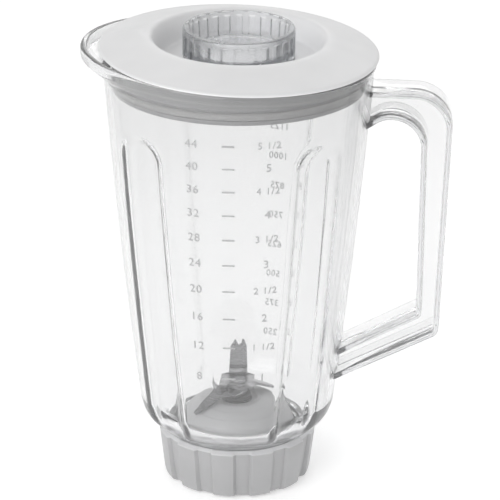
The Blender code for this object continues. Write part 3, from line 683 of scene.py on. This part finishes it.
def make_cap():
    """The clear cap: a cup with ribs round its outside and a spigot below."""
    foot = WELL_FLOOR_Z + 2 * GAP + 0.8
    step = math.tau / CAP_RIBS

    def ribbed(angle, r, z, share):
        if share <= 0:
            return r, z
        phase = (angle % step) / step
        rib = smooth((phase - 0.04) / 0.16) - smooth((phase - 0.52) / 0.16)
        return r - CAP_RIB_DEPTH * share * (1 - rib), z

    corners = [
        (CAP_R, CAP_TOP_Z, 1.0, 0), (CAP_R, CAP_TOP_Z - 2.3, 0.3, 0), (CAP_R, CAP_TOP_Z - 2.9, 0.3, 1),
        (CAP_R, foot, 0.3, 1), (CAP_R - 2.4, foot, 0.3, 0), (CAP_R - 2.8, CAP_FLOOR_Z - 2.2, 0.3, 0),
        (CAP_SPIGOT_R, CAP_FLOOR_Z - 2.2, 0.4, 0), (CAP_SPIGOT_R - 0.4, CAP_SPIGOT_Z, 0.6, 0),
        (CAP_SPIGOT_R - 2.2, CAP_SPIGOT_Z, 0.6, 0), (CAP_SPIGOT_R - 2.0, CAP_FLOOR_Z - 2.2, 1.2, 0),
        (0.6, CAP_FLOOR_Z - 2.2, 0, 0),
    ]
    top = [
        (0.6, CAP_FLOOR_Z, 0, 0), (CAP_CUP_R - 0.2, CAP_FLOOR_Z, 2.0, 0),
        (CAP_R - 3.0, CAP_TOP_Z - 0.2, 0.8, 0), (CAP_R - 2.2, CAP_TOP_Z, 0.6, 0),
    ]
    bm = loft(rounded(corners + top, 4), CAP_RIBS * 12, ribbed)
    middle = [f for f in bm.faces if all(math.hypot(v.co.x, v.co.y) < 0.7 for v in f.verts)]
    bmesh.ops.delete(bm, geom=middle, context="FACES")
    bmesh.ops.holes_fill(bm, edges=[e for e in bm.edges if e.is_boundary])
    dress(to_object("cap_moulding", bm), "cap", "filler_cap", ("filler_cap",), 40)


# ---------------------------------------------------------------- collar and blade unit

def make_collar():
    """The collar: twelve grip lobes, each with two flanks of the same steepness."""
    step = math.tau / COLLAR_LOBES

    def lobed(angle, r, z, share):
        phase = (angle / step + COLLAR_LOBE_TURN) % 1.0
        raised = smooth(phase / 0.045) - smooth((phase - 0.6) / 0.045)
        return r - COLLAR_LOBE_DEPTH * max(0.0, share) * (1 - raised), z

    corners = [
        (COLLAR_TOP_R - 2.0, COLLAR_TOP_Z, 0.3, 0.35), (COLLAR_TOP_R - 0.1, COLLAR_TOP_Z - 1.4, 0.25, 0.6),
        (COLLAR_TOP_R, COLLAR_TOP_Z - 1.9, 0.25, 0.85), (COLLAR_FOOT_R + 0.8, 4.6, 2.5, 1),
        (COLLAR_FOOT_R, 1.2, 0.9, 1.15), (COLLAR_FOOT_R - 2.6, 0.0, 1.0, 0.6), (COLLAR_RECESS_R, 0.0, 0.4, 0),
        (COLLAR_RECESS_R, LEDGE_BOTTOM_Z, 0.4, 0), (COLLAR_LEDGE_R, LEDGE_BOTTOM_Z, 0.4, 0),
        (COLLAR_LEDGE_R, LEDGE_TOP_Z, 0.4, 0), (COLLAR_BORE_R, LEDGE_TOP_Z, 0.3, 0),
        (COLLAR_BORE_R, COLLAR_TOP_Z - 1.2, 0.3, 0), (COLLAR_BORE_R + 0.3, COLLAR_TOP_Z, 0.3, 0),
    ]
    collar = to_object("collar_moulding", loft(rounded(corners, 4), COLLAR_LOBES * 32, lobed))
    combine(collar, [helical_ridge("collar_ridge", COLLAR_BORE_R + 0.6, 32.2, 15.4)])
    dress(collar, "collar", "collar", ("collar",), 40)


def make_blade_base():
    """The domed plastic base inside the jar's foot."""
    corners = [
        (BASE_HUB_R - 0.6, BASE_TOP_Z, 0.4, 0), (11.4, 38.7, 0.8, 0), (15.0, 38.3, 9, 0), (19.5, 36.6, 9, 0),
        (24.0, 33.0, 9, 0), (27.0, 28.2, 9, 0), (BASE_SPIGOT_R, 24.5, 4.0, 0),
        (BASE_SPIGOT_R, BASE_FLANGE_TOP_Z, 0.3, 0), (BASE_FLANGE_R, BASE_FLANGE_TOP_Z, 0.4, 0),
        (BASE_FLANGE_R, BASE_FLANGE_BOTTOM_Z, 0.4, 0),
        (BASE_SPIGOT_R - 2.8, BASE_FLANGE_BOTTOM_Z, 0.4, 0), (BASE_SPIGOT_R - 2.8, 24.5, 2.0, 0),
        (19.6, 32.0, 2.0, 0), (BASE_HUB_R, 34.4, 1.2, 0), (BASE_HUB_R, 12.7, 0.4, 0),
        (BASE_BORE_R, 12.7, 0.3, 0), (BASE_BORE_R, BASE_TOP_Z, 0.3, 0),
    ]
    base = to_object("base_moulding", loft(rounded(corners, 5), 128))
    dress(base, "blade_base", "blade_unit", ("blade_base",), 40)


def dress_small_parts():
    """Materials for the CAD pieces that keep their own shape."""
    looks = {
        "lid_seal": "pale_rubber", "cap_seal": "pale_rubber", "jar_gasket": "pale_rubber",
        "housing_gasket": "black_rubber", "shaft_seal": "black_rubber", "bearing_housing": "black_nylon",
        "upper_bush": "bush", "lower_bush": "bush", "housing_nut": "plated", "thrust_washer": "plated",
        "lower_washer": "plated", "retaining_clip": "plated", "blade_shaft": "turned",
        "blade_washer": "blade", "upper_blade": "blade", "lower_blade": "blade", "drive_coupling": "coupling",
    }
    for name, look in looks.items():
        node = NODES[name]
        if not node.data.materials:
            node.data.materials.append(LOOKS[look])
        for slot in node.material_slots:
            slot.material = LOOKS[look]


# ---------------------------------------------------------------- camera, light and floor

def make_camera():
    """The photograph's view: a long lens, a little above and to the right of the scale."""
    data = bpy.data.cameras.new("camera")
    data.sensor_width, data.lens = 36.0, 238.86
    data.shift_x, data.shift_y = 0.02426, 0.0069
    data.clip_start, data.clip_end = 0.1, 20.0
    camera = bpy.data.objects.new("camera", data)
    bpy.context.scene.collection.objects.link(camera)
    at = Vector(((139.09 + AXIS_X) * MM, -1.44448, 0.70674))
    aim = Vector((AXIS_X * MM, 0, 0.112))
    look = (aim - at).to_track_quat("-Z", "Y").to_matrix().to_4x4()
    camera.matrix_world = Matrix.Translation(at) @ look @ Matrix.Rotation(math.radians(0.29), 4, "Z")
    bpy.context.scene.camera = camera


def area_light(name, at, aim, size, power):
    """A soft square light."""
    data = bpy.data.lights.new(name, "AREA")
    data.shape, data.size, data.energy = "SQUARE", size, power
    light = bpy.data.objects.new(name, data)
    at, aim = Vector(at), Vector(aim)
    light.matrix_world = Matrix.Translation(at) @ (aim - at).to_track_quat("-Z", "Y").to_matrix().to_4x4()
    bpy.context.scene.collection.objects.link(light)


def make_studio():
    """A pale floor, a world that is brightest low behind the object, and three soft lights."""
    bm = bmesh.new()
    bmesh.ops.create_grid(bm, x_segments=8, y_segments=8, size=6000)
    bmesh.ops.translate(bm, vec=(0, 0, -0.6), verts=bm.verts)
    floor = to_object("floor", bm)
    made, tree, shader = new_material("floor_pale")
    shader.inputs["Base Color"].default_value = (0.92, 0.92, 0.92, 1)
    shader.inputs["Roughness"].default_value = 0.9
    shader.inputs["Specular IOR Level"].default_value = 0.1
    shader.inputs["Emission Color"].default_value = (1, 1, 1, 1)
    shader.inputs["Emission Strength"].default_value = 0.33
    floor.data.materials.append(made)
    world = bpy.data.worlds.new("studio")
    bpy.context.scene.world = world
    world.use_nodes = True
    tree = world.node_tree
    direction = tree.nodes.new("ShaderNodeTexCoord")
    parts = tree.nodes.new("ShaderNodeSeparateXYZ")
    tree.links.new(direction.outputs["Generated"], parts.inputs["Vector"])
    from_behind = map_range(tree, parts.outputs["Y"], -0.9, 0.4, 0.6, 1.0)
    from_low = map_range(tree, parts.outputs["Z"], 0.2, 0.85, 1.0, 0.5)
    tree.links.new(product(tree, from_behind, from_low), tree.nodes["Background"].inputs["Strength"])
    tree.nodes["Background"].inputs["Color"].default_value = (1, 1, 1, 1)
    middle = (AXIS_X * MM, 0, 0.11)
    area_light("key", (-0.8, -1.5, 1.1), middle, 1.5, 19)
    area_light("fill", (1.4, -0.8, 0.9), middle, 0.9, 1)
    area_light("back", (0.1, 1.5, 1.2), middle, 1.2, 4)
    bpy.context.scene.view_settings.view_transform = "Standard"


make_camera()
make_studio()
make_jar()
make_scale()
make_lid()
make_cap()
make_collar()
make_blade_base()
dress_small_parts()
